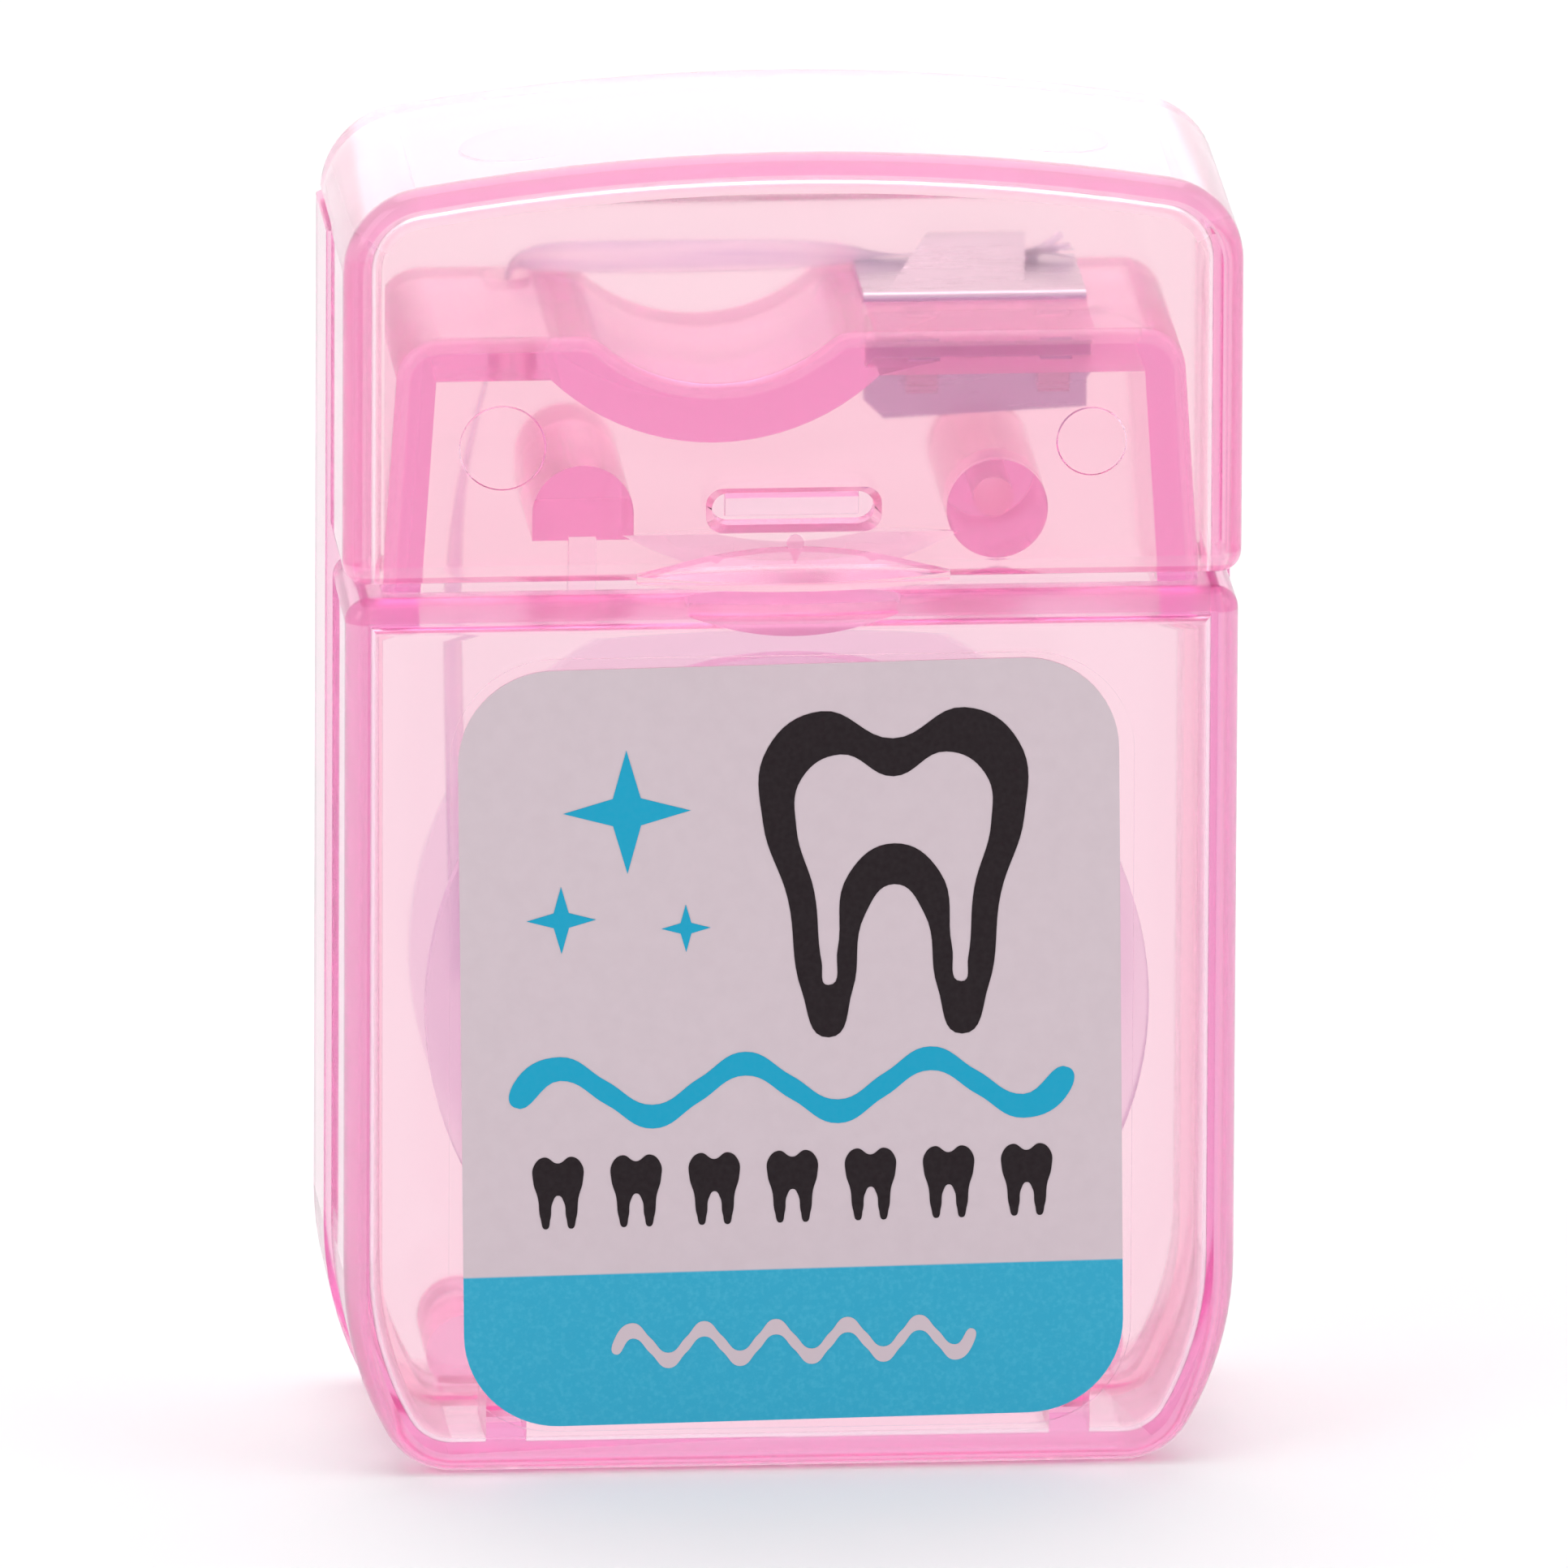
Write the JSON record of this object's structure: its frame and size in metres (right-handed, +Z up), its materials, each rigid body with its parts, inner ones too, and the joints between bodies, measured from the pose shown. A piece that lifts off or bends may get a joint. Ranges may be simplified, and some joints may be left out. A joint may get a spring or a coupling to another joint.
{
  "type": "dental floss dispenser",
  "caption": "Pocket dental floss dispenser: clear tinted two-shell case, hinged flip lid, steel cutter clip and a turning bobbin of waxed floss.",
  "frame": {"origin": "centre of the object's footprint box, on the surface it stands on", "axes": "+Z up to the lid's crown, front with the label and thumb lip towards -Y, +X to the viewer's right"},
  "size_m": [0.0314, 0.0138, 0.0468],
  "materials": {
    "tinted_plastic": "clear pink tint, moulded gloss",
    "steel_strip": "bright rolled strip",
    "bobbin_plastic": "natural milky",
    "waxed_floss": "waxed filament ribbon",
    "label_film": "satin printed film"
  },
  "bodies": {
    "case": {"front_shell": "tinted_plastic", "rear_shell": "tinted_plastic", "lid_hinge_web": "tinted_plastic", "cutter_clip": "steel_strip", "floss_strand": "waxed_floss", "front_label": "label_film"},
    "lid": {"flip_lid": "tinted_plastic"},
    "bobbin_body": {"bobbin": "bobbin_plastic", "floss_winding": "waxed_floss", "floss_outer_turns": "waxed_floss"}
  },
  "joints": [
    {"name": "lid_hinge", "type": "hinge", "parent": "case", "child": "lid", "pos_m": [0, 0.00695, 0.0428], "axis": [-1, 0, 0], "range_deg": [0, 150], "deforming": ["lid_hinge_web"]},
    {"name": "bobbin_spin", "type": "hinge", "parent": "case", "child": "bobbin_body", "pos_m": [0, 0.0006, 0.0161], "axis": [0, 1, 0], "continuous": true}
  ]
}
